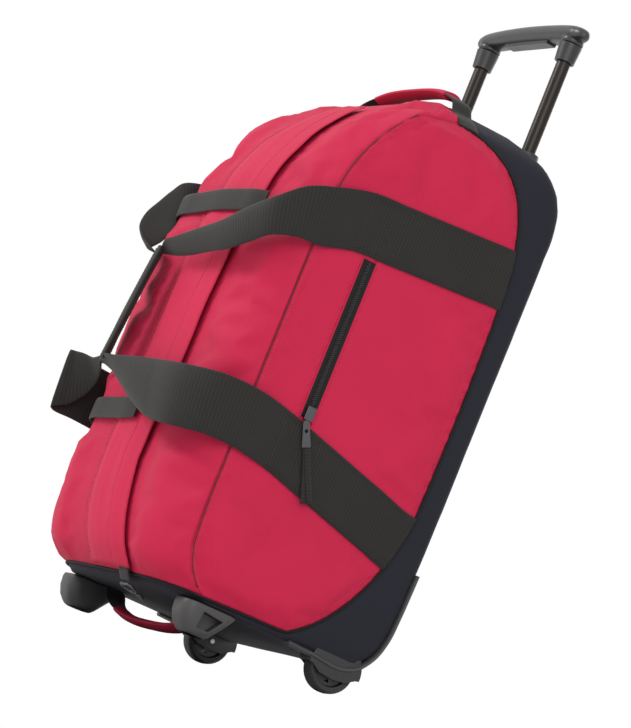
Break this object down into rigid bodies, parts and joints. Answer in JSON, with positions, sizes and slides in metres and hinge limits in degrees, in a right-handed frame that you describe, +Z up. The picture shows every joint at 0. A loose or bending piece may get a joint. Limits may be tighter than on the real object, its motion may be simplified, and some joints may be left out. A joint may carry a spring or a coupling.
{
  "type": "rolling duffel bag",
  "caption": "Soft upright duffel with wide webbing handles, zipped pocket, storm flap, pull-out trolley handle, feet and wheels.",
  "frame": {"origin": "on the floor under the middle of the bag", "axes": "+Z up along the long axis, -Y the front with the main zip, +Y the back with the trolley, +X the side with the zipped pocket"},
  "size_m": [0.3786, 0.3663, 0.838],
  "materials": {
    "red_fabric": "woven polyester, soft sheen",
    "charcoal_fabric": "coarse woven polyester",
    "black_webbing": "ribbed webbing",
    "grey_plastic": "fine moulded texture",
    "dark_plastic": "satin moulded",
    "tube_metal": "satin dark coating",
    "gunmetal": "dark plated",
    "steel": "plain",
    "tyre_rubber": "matt",
    "stiff_board": "plain sheet"
  },
  "bodies": {
    "bag": {"gusset_tray": "charcoal_fabric", "front_panel": "red_fabric", "side_panel_near": "red_fabric", "side_panel_far": "red_fabric", "storm_flap": "red_fabric", "main_zip_tape": "black_webbing", "flap_tab": "black_webbing", "pocket_zip_tape": "black_webbing", "sewn_strap_near_upper": "black_webbing", "bracket_screw_upper_near": "steel", "sewn_strap_near_lower": "black_webbing", "bracket_screw_lower_near": "steel", "foot_near": "grey_plastic", "wheel_housing_near": "grey_plastic", "tube_collar_near": "dark_plastic", "wheel_axle_near": "steel", "outer_tube_near": "steel", "sewn_strap_far_upper": "black_webbing", "bracket_screw_upper_far": "steel", "sewn_strap_far_lower": "black_webbing", "bracket_screw_lower_far": "steel", "foot_far": "grey_plastic", "wheel_housing_far": "grey_plastic", "tube_collar_far": "dark_plastic", "wheel_axle_far": "steel", "outer_tube_far": "steel", "front_band_upper": "black_webbing", "front_band_lower": "black_webbing", "tube_bracket_lower": "dark_plastic", "tube_bracket_upper": "dark_plastic", "back_board": "stiff_board"},
    "trolley": {"inner_tube_near": "tube_metal", "inner_tube_far": "tube_metal", "grip_socket_near": "dark_plastic", "grip_socket_far": "dark_plastic", "trolley_grip": "dark_plastic"},
    "release": {"release_button": "grey_plastic", "release_rod_near": "steel", "release_rod_far": "steel"},
    "wheel_near": {"wheel_tyre_near": "tyre_rubber", "wheel_hub_near": "dark_plastic"},
    "wheel_far": {"wheel_tyre_far": "tyre_rubber", "wheel_hub_far": "dark_plastic"},
    "main_slider": {"main_zip_slider": "gunmetal"},
    "pocket_slider": {"pocket_slider": "gunmetal"},
    "pocket_pull": {"pocket_pull_tab": "gunmetal", "pocket_pull_webbing": "black_webbing"},
    "near_handle": {"near_handle_upper": "black_webbing", "near_handle_lower": "black_webbing", "near_handle_grip": "black_webbing"},
    "far_handle": {"far_handle_upper": "black_webbing", "far_handle_lower": "black_webbing", "far_handle_grip": "black_webbing"},
    "top_grab": {"top_grab_sleeve": "red_fabric", "top_grab_end_near": "black_webbing", "top_grab_end_far": "black_webbing"},
    "bottom_grab": {"bottom_grab_sleeve": "red_fabric", "bottom_grab_end_near": "black_webbing", "bottom_grab_end_far": "black_webbing"},
    "flap_hook": {"flap_hook": "gunmetal"}
  },
  "joints": [
    {"name": "trolley_slide", "type": "slide", "parent": "bag", "child": "trolley", "axis": [0, 0, 1], "range_m": [-0.114, 0.24]},
    {"name": "release_press", "type": "slide", "parent": "trolley", "child": "release", "axis": [0, 0, 1], "range_m": [0, 0.004], "stiffness_N_per_m": 400, "springref_m": -0.003},
    {"name": "wheel_near_spin", "type": "hinge", "parent": "bag", "child": "wheel_near", "pos_m": [0.164, 0.1256, 0.0285], "axis": [1, 0, 0], "continuous": true},
    {"name": "wheel_far_spin", "type": "hinge", "parent": "bag", "child": "wheel_far", "pos_m": [-0.164, 0.1256, 0.0285], "axis": [1, 0, 0], "continuous": true},
    {"name": "main_zip_slide", "type": "slide", "parent": "bag", "child": "main_slider", "axis": [0, 0, 1], "range_m": [0, 0.235]},
    {"name": "pocket_zip_slide", "type": "slide", "parent": "bag", "child": "pocket_slider", "axis": [0, 0, 1], "range_m": [0, 0.17]},
    {"name": "pocket_pull_swing", "type": "hinge", "parent": "pocket_slider", "child": "pocket_pull", "pos_m": [0.1872, -0.0234, 0.262], "axis": [1, 0, 0], "range_deg": [-38, 40]},
    {"name": "near_handle_swing", "type": "hinge", "parent": "bag", "child": "near_handle", "pos_m": [0.1866, -0.0564, 0.365], "axis": [0, 0, 1], "range_deg": [0, 110]},
    {"name": "far_handle_swing", "type": "hinge", "parent": "bag", "child": "far_handle", "pos_m": [-0.1866, -0.0564, 0.365], "axis": [0, 0, 1], "range_deg": [-110, 0]},
    {"name": "top_grab_swing", "type": "hinge", "parent": "bag", "child": "top_grab", "pos_m": [0, 0.0396, 0.678], "axis": [1, 0, 0], "range_deg": [-30, 30]},
    {"name": "bottom_grab_swing", "type": "hinge", "parent": "bag", "child": "bottom_grab", "pos_m": [0, -0.0224, 0.029], "axis": [1, 0, 0], "range_deg": [0, 60]},
    {"name": "flap_hook_swing", "type": "hinge", "parent": "bag", "child": "flap_hook", "pos_m": [0.072, -0.1024, 0.0295], "axis": [1, 0, 0], "range_deg": [-50, 12]}
  ]
}
